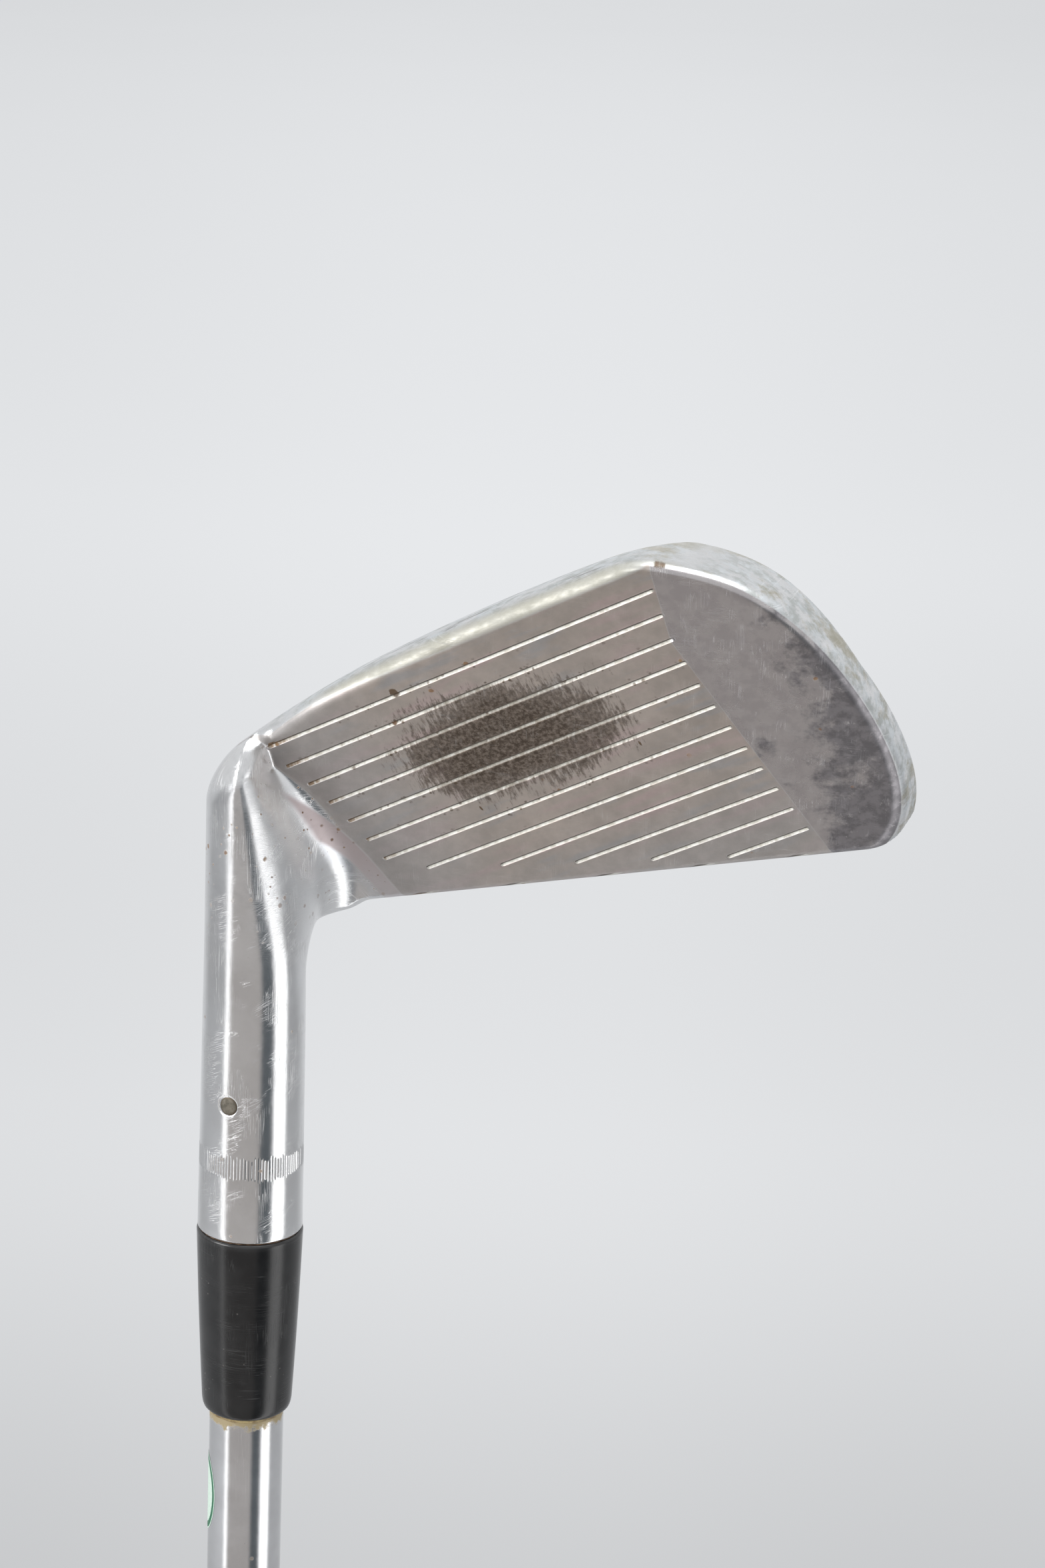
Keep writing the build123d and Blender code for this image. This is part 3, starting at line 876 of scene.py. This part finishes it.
# score lines: the line's number, the distance across it and whether a point is in its cut
step = (b - FIRST_LINE) / LINE_PITCH
across = (steel.math("FRACT", step + 0.5) - 0.5) * LINE_PITCH
strip = steel.math("FLOOR", step)
groove = blasted * n.ramp(0.05, 0.09) * across.size().ramp(0.40, 0.48, 1.0, 0.0) * b.ramp(5.7, 5.9)
broken = steel.noise(1.0, 3.0, 0.6, at=steel.join(x * 0.8, strip, 4.0))

# the patch: an oval that shifts a little from strip to strip, tufted at its rim
shift = (steel.math("FRACT", steel.math("SINE", strip * 12.99) * 4375.85) - 0.5) * 7.0
patch_x = (x - PATCH_X - shift) / PATCH_HALF_WIDTH
patch_b = (b - PATCH_B - (x - 27.0) * 0.09) / PATCH_HALF_HEIGHT
patch_far = (patch_x * patch_x + patch_b * patch_b) ** 0.5
tuft = steel.noise(1.0, 5.0, 0.72, at=steel.join(x * 1.9 + b * 0.4, b * 0.42))
spot = steel.noise(1.0, 5.0, 0.75, at=steel.join(x * 1.7, b * 1.5, 3.0))
depth = 1.0 - patch_far + (tuft - 0.5) * 1.15 + (steel.noise(0.13, 2.0, 0.5) - 0.5) * 0.7
worn = depth.ramp(0.0, 0.20) * blasted


def mark(at_x, at_b, half_x, half_b, ragged=0.6):
    """A ragged dark mark on the face at a place in head coordinates."""
    dx = (x - at_x) / half_x
    db = (b - at_b) / half_b
    return ((dx * dx + db * db) ** 0.5 + (spot - 0.5) * ragged * 2.0).ramp(0.75, 1.05, 1.0, 0.0)


def rust_specks():
    """Rust specks: thickest on the neck, a few on the face and the hosel."""
    on_neck = neck * b.ramp(6.0, 12.0) * n.ramp(8.0, 10.0, 1.0, 0.0)
    rust = specks(steel, 1.9, 0.20).most(specks(steel, 1.1, 0.17, seed=31.0)) * on_neck
    rust = rust.most(specks(steel, 4.0, 0.10, seed=12.0) * in_face)
    return rust.most(specks(steel, 3.4, 0.10, seed=50.0) * along.ramp(30.0, 34.0) * 0.7)


def hair_scratches():
    """Fine scratches: slanting on the face, and along and round the bar of the hosel."""
    face = scratches(steel, x + b * 0.7, b - x * 0.7, 2.6, 0.10, 0.012, 1.0)
    face = face.most(scratches(steel, x - b * 1.6, b + x * 1.6, 1.9, 0.08, 0.012, 7.0))
    bar = scratches(steel, shaft_z, angle * 6.5, 4.0, 0.12, 0.02, 3.0)
    round_bar = angle * 6.5 + shaft_z * 0.5
    bar = bar.most(scratches(steel, round_bar, shaft_z - angle * 3.2, 3.6, 0.3, 0.016, 11.0))
    return face * in_face * 0.7 + bar * off_face


marks = mark(18.6, 6.0, 0.6, 0.8, 0.35).most(mark(17.6, 26.6, 0.15, 0.45))
marks = marks.most(mark(41.1, 26.0, 0.16, 0.5)).most(mark(57.9, 3.6, 1.25, 1.0, 0.55))
marks = marks * n.ramp(2.6, 3.6, 1.0, 0.0)
rust = rust_specks()
hair = hair_scratches()


# -------- head material: colours
def chrome():
    """Bright chrome, a little dull in clouds."""
    return steel.blend(cloud.ramp(0.3, 0.7), (0.66, 0.66, 0.665), (0.735, 0.74, 0.75))


def dull_neck(colour):
    """The neck is mottled; beside the face lies a satin band with a darker rosy painted reflection, then a
    hollow with blue-grey painted shade.
    """
    colour = steel.blend(neck * mottle.ramp(0.45, 0.75) * 0.4, colour, (0.55, 0.55, 0.57))
    # painted shade in the hollow
    colour = steel.blend(hollow * 0.5, colour, (0.46, 0.485, 0.53))
    # painted reflection on the satin band
    return steel.blend(satin_margin_and_reflection * 0.95, colour, (0.505, 0.435, 0.435))


def blasted_face(colour):
    """The blasted face: brown-grey with rosy and blue clouds."""
    tone = steel.blend(cloud.ramp(0.35, 0.65), (0.45, 0.405, 0.37), (0.51, 0.455, 0.415))
    rosy = steel.noise(1.0, 3.0, 0.55, at=steel.join(x * 0.07, b * 0.35, 2.0))
    tone = steel.blend(rosy.ramp(0.5, 0.68) * 0.8, tone, (0.53, 0.43, 0.42))
    tone = steel.blend(rosy.ramp(0.30, 0.44, 1.0, 0.0) * 0.7, tone, (0.41, 0.41, 0.42))
    grey = x.ramp(2.0, 20.0, 0.75, 0.0).most(b.ramp(32.0, 46.0, 0.0, 0.6))
    tone = steel.blend(grey, tone, (0.435, 0.425, 0.425))
    return steel.blend(blasted, colour, steel.grade(tone, mottle.ramp(0.3, 0.7, 0.93, 1.05)))


def greyer_toe(colour):
    """The smooth toe: greyer, with dark mottling towards the tip and pale rubs."""
    tone = steel.blend(mottle.ramp(0.4, 0.6), (0.45, 0.425, 0.43), (0.50, 0.475, 0.475))
    dark = steel.blend(mottle.ramp(0.4, 0.6), (0.15, 0.145, 0.155), (0.24, 0.23, 0.245))
    tone = steel.blend(blotch * 0.85, tone, dark)
    pale = steel.noise(1.1, 4.0, 0.7, at=steel.join(x, b * 0.7, 9.0)).ramp(0.60, 0.72)
    tone = steel.blend(pale * 0.5, tone, (0.56, 0.54, 0.54))
    return steel.blend(smooth_toe, colour, tone)


def scuffed_sole(colour):
    """The sole: grey-green haze, olive stains, dark streaks, and a yellowed leading edge."""
    dull = steel.blend(mottle.ramp(0.4, 0.6), (0.42, 0.44, 0.43), (0.60, 0.63, 0.65))
    colour = steel.blend(sole * haze.ramp(0.36, 0.56) * 0.9, colour, dull)
    colour = steel.blend(sole * stain * 0.7, colour, (0.26, 0.23, 0.15))
    drag = steel.noise(1.0, 3.0, 0.6, at=steel.join(x * 0.10, y * 1.2, h * 1.2)).ramp(0.57, 0.63)
    drag = drag * x.ramp(8.0, 30.0) * x.ramp(46.0, 54.0, 1.0, 0.0)
    colour = steel.blend(sole * drag * 0.7, colour, (0.13, 0.12, 0.11))
    return steel.blend(yellow * 0.8, colour, (0.50, 0.485, 0.42))


def score_lines(colour):
    """The score lines: creamy paint and a painted highlight on the lower wall, painted shade on the upper,
    rusty at the heel.
    """
    # the lower wall's creamy colour is partly paint left in the cut and partly a painted highlight
    cream_paint_and_highlight = steel.blend(broken.ramp(0.4, 0.62), (0.66, 0.65, 0.60), (0.46, 0.44, 0.38))
    colour = steel.blend(groove * across.ramp(-0.05, 0.05), colour, cream_paint_and_highlight)
    # the near-black on the upper wall is painted shade
    colour = steel.blend(groove * across.ramp(-0.05, 0.05, 1.0, 0.0), colour, (0.09, 0.075, 0.06))
    rusty = groove * x.ramp(0.5, 4.5, 1.0, 0.0) * broken.ramp(0.35, 0.55)
    return steel.blend(rusty * 0.9, colour, (0.20, 0.12, 0.06))


def ball_wear(colour):
    """The dark patch where the ball strikes, and the flecks round it."""
    patchy = spot.ramp(0.34, 0.60)
    deep = steel.blend(patchy, (0.27, 0.225, 0.19), (0.10, 0.078, 0.062))
    core = depth.ramp(0.0, 0.6, 0.7, 1.0)
    colour = steel.blend(worn * core * n.ramp(0.05, 0.12, 1.0, 0.0), colour, deep)
    colour = steel.blend(worn * groove * patchy * 0.6, colour, (0.20, 0.16, 0.12))
    fleck = specks(steel, 0.8, 0.30, seed=3.0).most(specks(steel, 1.3, 0.22, seed=17.0)) * blasted
    fleck = fleck * across.size().ramp(0.45, 1.0, 1.0, 0.0) * patch_far.ramp(1.0, 1.9, 1.0, 0.0)
    return steel.blend(fleck * 0.85, colour, (0.12, 0.09, 0.065))


def spoiled(colour):
    """Dark marks, rust specks and fine scratches, on top of everything."""
    colour = steel.blend(marks, colour, (0.13, 0.085, 0.05))
    rusty = steel.blend(mottle.ramp(0.4, 0.6), (0.16, 0.075, 0.03), (0.28, 0.17, 0.08))
    colour = steel.blend(rust * 0.9, colour, rusty)
    return steel.blend(hair * 0.25, colour, (0.80, 0.80, 0.80))


def steel_roughness():
    """How dull the steel is."""
    rough = cloud * 0.10 + 0.10 + neck * 0.05 + satin_margin_and_reflection * 0.24 + hollow * 0.08 + yellow * 0.26
    rough = rough + sole * (0.12 + haze.ramp(0.35, 0.7) * 0.22)
    rough = rough + blasted * 0.26 + smooth_toe * (0.12 + blotch * 0.1)
    return rough + worn * 0.18 + rust * 0.4 + hair * 0.15


def steel_relief():
    """Fine relief: turning marks, ripples, scuffs, the blasted grain, then rust and scratches."""
    bar = off_face * (1.0 - sole * 0.8)
    scuffs = steel.noise(1.3, 3.0, 0.6) * (sole * 0.8 + smooth_toe * 0.25 + 0.06)
    grain = steel.noise(5.0, 2.0, 0.6) * (blasted + 0.05)
    normal = steel.bump(streak * bar, 1.0, 0.009)
    normal = steel.bump(steel.noise(0.22, 3.0, 0.6), 0.9, 0.022, after=normal)
    normal = steel.bump(scuffs, 0.7, 0.03, after=normal)
    normal = steel.bump(grain - worn * spot * 1.5, 0.30, 0.03, after=normal)
    return steel.bump(rust + marks * 2.0 - hair * 0.4, 0.6, 0.03, after=normal)


colour = chrome()
for layer in (dull_neck, blasted_face, greyer_toe, scuffed_sole, score_lines, ball_wear, spoiled):
    colour = layer(colour)
paint = groove * 0.75 + rust * 0.8 + sole * stain * 0.4 + marks * 0.6
head_finish = steel.finish(colour, steel_roughness(), steel_relief(), (1.0 - paint).most(0.0))


# -------- the other materials
def shaft_material():
    """Bright chrome, faintly ringed, with yellow-brown glue left under the ferrule."""
    g = Graph("shaft_finish")
    x, y, z = g.axes()
    angle, streak = turning(g, x, y, z)
    cloud = g.noise(0.15, 4.0, 0.6)
    ring = g.noise(1.0, 3.0, 0.6, at=g.join(angle * 1.2, z * 2.5))
    uneven = (g.noise(0.9, 3.0, 0.6) - 0.5) * 3.4
    glue = (z - (JOINT - 27.2) + uneven).ramp(0.0, 0.8)
    glue = glue * (z - (JOINT - 25.0)).ramp(0.0, 0.4, 1.0, 0.0)
    dirt = specks(g, 3.0, 0.12)
    colour = g.blend(cloud.ramp(0.3, 0.7), (0.62, 0.62, 0.63), (0.70, 0.705, 0.72))
    colour = g.blend(scratches(g, z, angle * 4.9, 5.0, 0.10, 0.02, 3.0) * 0.35, colour, (0.85, 0.85, 0.85))
    colour = g.blend(dirt * 0.8, colour, (0.20, 0.16, 0.12))
    colour = g.blend(glue * 0.85, colour, (0.36, 0.27, 0.11))
    rough = cloud * 0.08 + 0.09 + ring * 0.05 + glue * 0.3 + dirt * 0.3
    normal = g.bump(streak, 1.0, 0.009)
    normal = g.bump(g.noise(0.3, 3.0, 0.6), 0.9, 0.014, after=normal)
    return g.finish(colour, rough, normal, 1.0 - glue * 0.8 - dirt * 0.5)


def ferrule_material():
    """Black plastic, turned and rubbed, a little paler at the lip."""
    g = Graph("ferrule_finish")
    x, y, z = g.axes()
    angle, streak = turning(g, x, y, z)
    cloud = g.noise(0.25, 4.0, 0.6)
    rub = scratches(g, z, angle * 6.0, 5.0, 0.14, 0.025, 2.0)
    rub = rub.most(scratches(g, angle * 6.0, z, 3.5, 0.12, 0.02, 9.0))
    lip = (z - (JOINT - 1.2)).ramp(0.0, 0.9)
    colour = g.blend(cloud.ramp(0.35, 0.7), (0.005, 0.005, 0.0055), (0.012, 0.012, 0.0125))
    colour = g.blend(rub * 0.35 + lip * 0.2, colour, (0.08, 0.08, 0.08))
    colour = g.blend(specks(g, 1.3, 0.10) * 0.5, colour, (0.16, 0.15, 0.14))
    normal = g.bump(streak, 1.0, 0.006)
    normal = g.bump(g.noise(0.5, 3.0, 0.6) - rub * 0.3, 0.8, 0.010, after=normal)
    return g.finish(colour, cloud * 0.12 + 0.17 + rub * 0.15, normal, IOR=1.5)


def bond_material(name, low, high, cloud_scale, grain_scale, rough):
    """Dried bond or glue, cloudy and grainy."""
    g = Graph(name)
    cloud = g.noise(cloud_scale, 4.0, 0.65)
    colour = g.blend(cloud.ramp(0.35, 0.65), low, high)
    return g.finish(colour, cloud * 0.3 + rough, g.bump(g.noise(grain_scale, 4.0, 0.7), 0.8, 0.05))


def pin_material():
    """Dull steel, filed across, browner at its rim."""
    g = Graph("pin_finish")
    x, _, z = g.axes()
    cloud = g.noise(1.2, 4.0, 0.65)
    filed = g.noise(1.0, 2.0, 0.6, at=g.join(x * 1.2 + z * 0.6, z * 9.0 - x * 4.0))
    off = (x * x + (z - PIN_Z) * (z - PIN_Z)) ** 0.5
    colour = g.blend(cloud.ramp(0.35, 0.65), (0.13, 0.118, 0.095), (0.22, 0.20, 0.165))
    colour = g.blend(off.ramp(0.85, 1.2) * 0.8, colour, (0.10, 0.075, 0.05))
    normal = g.bump(cloud, 0.5, 0.03, after=g.bump(filed, 0.9, 0.012))
    return g.finish(colour, cloud * 0.2 + 0.38, normal, Metallic=0.75)


def label_material():
    """Pale printed paper, blank, with a dark green rim, a little rubbed."""
    g = Graph("label_finish")
    x, y, z = g.axes()
    angle = g.math("ARCTAN2", x, y * -1.0)
    aside = (angle - LABEL_TURN) * 4.88 / LABEL_HALF_WIDTH
    up = (z - LABEL_Z) / LABEL_HALF_HEIGHT
    off = (aside * aside + up * up) ** 0.5
    fibre = g.noise(3.5, 5.0, 0.7)
    colour = g.blend(fibre.ramp(0.35, 0.65), (0.55, 0.70, 0.60), (0.66, 0.79, 0.70))
    rim = off.ramp(0.80, 0.83) * off.ramp(0.95, 0.98, 1.0, 0.0)
    colour = g.blend(rim, colour, (0.03, 0.15, 0.08))
    colour = g.blend(specks(g, 0.9, 0.2) * 0.6, colour, (0.40, 0.40, 0.36))
    return g.finish(colour, fibre * 0.2 + 0.45, g.bump(fibre, 0.6, 0.02))


def rubber(name, dark, light, seed):
    """Moulded rubber with a fine grain and dust, smoother where it is paler."""
    g = Graph(name)
    cloud = g.noise(0.08, 4.0, 0.6, at=g.vector("ADD", g.place, (seed, 0.0, 0.0)))
    grit = g.noise(3.2, 3.0, 0.65)
    colour = g.blend(cloud.ramp(0.35, 0.7), dark, light)
    colour = g.grade(colour, grit.ramp(0.3, 0.7, 0.8, 1.25))
    colour = g.blend(specks(g, 2.4, 0.11, seed=seed) * 0.5, colour, (0.14, 0.13, 0.115))
    normal = g.bump(cloud, 0.4, 0.2, after=g.bump(grit, 0.8, 0.06))
    return g.finish(colour, cloud * -0.22 + 0.78, normal, IOR=1.52)


def grained(name, low, high, scale, rough, relief):
    """A grained material for a part that the outside covers."""
    g = Graph(name)
    grain = g.noise(scale, 5.0, 0.65)
    pores = g.cells(scale * 1.6)
    colour = g.grade(g.blend(grain.ramp(0.35, 0.65), low, high), pores.ramp(0.05, 0.3, 0.6, 1.0))
    return g.finish(colour, rough, g.bump(grain - pores * 0.4, 0.8, relief))


shaft_finish = shaft_material()
pin_finish = pin_material()
wear(head, head_finish)
wear(sleeve, head_finish)
wear(shaft, shaft_finish)
wear(shaft_inside, shaft_finish)
wear(ferrule, ferrule_material())
wear(joint_bead, bond_material("bond_finish", (0.05, 0.028, 0.015), (0.17, 0.10, 0.055), 1.4, 4.0, 0.45))
wear(glue_ring, bond_material("glue_finish", (0.20, 0.13, 0.05), (0.46, 0.36, 0.17), 0.9, 3.0, 0.35))
wear(pin, pin_finish)
wear(label, label_material())
wear(grip, rubber("grip_rubber", (0.018, 0.018, 0.019), (0.034, 0.033, 0.033), 0.0))
wear(cap, rubber("cap_rubber", (0.015, 0.015, 0.016), (0.028, 0.028, 0.027), 40.0))

# the CAD solids that stay, and those that the pieces above stand for
solids = {o["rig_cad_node"]: o for o in bpy.data.objects if "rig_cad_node" in o}
epoxy_finish = grained("hosel_epoxy_inside", (0.42, 0.33, 0.18), (0.55, 0.46, 0.28), 0.6, 0.35, 0.03)
tape_finish = grained("grip_tape_inside", (0.55, 0.47, 0.33), (0.66, 0.58, 0.43), 2.5, 0.85, 0.04)
plug_finish = grained("shaft_tip_plug_inside", (0.36, 0.22, 0.11), (0.55, 0.38, 0.22), 1.1, 0.9, 0.15)
wear(solids["hosel_epoxy"], epoxy_finish)
wear(solids["grip_tape"], tape_finish)
wear(solids["shaft_tip_plug"], plug_finish)
wear(solids["head"], head_finish)
wear(solids["shaft"], shaft_finish)
wear(solids["hosel_pin"], pin_finish)


# -------- floor, boards and lights, in metres
def flat_piece(name, corners, material):
    """A flat polygon of the set, which isn't part of the club."""
    mesh = bpy.data.meshes.new(name)
    mesh.from_pydata(corners, [], [list(range(len(corners)))])
    obj = bpy.data.objects.new(name, mesh)
    bpy.context.scene.collection.objects.link(obj)
    obj.data.materials.append(material)
    return obj


def floor_paper_painted_falloff():
    """Matt pale paper whose tone is painted shade: darker near the club and the camera, at the sides and far
    off.
    """
    g = Graph("floor_paper_painted_falloff")
    start = tuple(EYE * 1000)
    away = (g.along((-sin(VIEW_TURN), cos(VIEW_TURN), 0), start) / 1000.0).size()
    aside = g.along((cos(VIEW_TURN), sin(VIEW_TURN), 0), start) / 1000.0
    # painted shade: the tone falls off towards the camera, far away and to the sides, and is brightest in
    # between
    tone = away.ramp(1.5, 2.6, 0.50, 0.76) * away.ramp(2.4, 5.0, 1.0, 1.22) * away.ramp(7.0, 20.0, 1.0, 0.93)
    tone = tone * (aside / away).size().ramp(0.02, 0.17, 1.0, 0.955)
    tone = tone + (g.noise(0.0006, 2.0) - 0.5) * 0.01
    matt = g.new("ShaderNodeBsdfDiffuse")
    g.put(matt.inputs["Color"], g.join(tone * 0.98, tone * 0.987, tone))
    out = next(node for node in g.tree.nodes if node.type == "OUTPUT_MATERIAL")
    g.tree.links.new(matt.outputs[0], out.inputs[0])
    g.tree.nodes.remove(g.shader)
    return g.material


def glow(name, colour, power):
    """A material that gives off light."""
    material = bpy.data.materials.new(name)
    material.use_nodes = True
    tree = material.node_tree
    tree.nodes.clear()
    light = tree.nodes.new("ShaderNodeEmission")
    light.inputs["Color"].default_value = (*colour, 1)
    light.inputs["Strength"].default_value = power
    out = tree.nodes.new("ShaderNodeOutputMaterial")
    tree.links.new(light.outputs[0], out.inputs[0])
    return material


def board(name, start, end, reach, colour, power, lift=0.004):
    """A wedge on the floor that only polished steel sees, between two bearings (0 front, 90 toe)."""
    bearings = np.radians(np.linspace(start, end, 9))
    corners = [(reach * sin(a), -reach * cos(a), lift) for a in bearings] + [(0, 0, lift)]
    obj = flat_piece(name, corners, glow(name, colour, power))
    obj.visible_camera = False
    obj.visible_diffuse = False
    obj.visible_shadow = False
    obj.visible_transmission = False


def soft_box(name, place, at, wide, high, power):
    """A large lamp that points at a place and isn't seen itself."""
    light = bpy.data.lights.new(name, "AREA")
    light.shape = "RECTANGLE"
    light.size = wide
    light.size_y = high
    light.energy = power
    obj = bpy.data.objects.new(name, light)
    obj.location = place
    obj.rotation_euler = (Vector(at) - Vector(place)).to_track_quat("-Z", "Y").to_euler()
    obj.visible_camera = False
    bpy.context.scene.collection.objects.link(obj)


def surroundings():
    """An even, slightly cool white all round."""
    world = bpy.data.worlds.new("studio")
    bpy.context.scene.world = world
    world.use_nodes = True
    background = world.node_tree.nodes["Background"]
    background.inputs["Color"].default_value = (0.98, 0.99, 1.0, 1)
    background.inputs["Strength"].default_value = 0.86


FLOOR = 120                    # half the floor's width
HEAD_AT = (0, 0, 0.9)          # where the lamps point
corners = [(-FLOOR, -FLOOR, 0), (FLOOR, -FLOOR, 0), (FLOOR, FLOOR, 0), (-FLOOR, FLOOR, 0)]
flat_piece("floor", corners, floor_paper_painted_falloff())
board("card_front", -31, 46, 14.0, (1.0, 0.955, 0.925), 0.50, 0.003)
board("card_dark", 45, 72, 9.0, (0.82, 0.92, 1.0), 0.15)
board("card_strip_left", -38.5, -31, 9.0, (1, 1, 1), 2.4)
board("card_strip_right", 77, 105, 6.5, (1, 1, 1), 2.3)
surroundings()
soft_box("box_front_left", (-1.3, -1.9, 1.5), HEAD_AT, 1.2, 0.9, 30)
soft_box("box_top", (0.3, 0.2, 2.6), HEAD_AT, 1.6, 1.6, 24)
bpy.context.scene.view_settings.view_transform = "Standard"
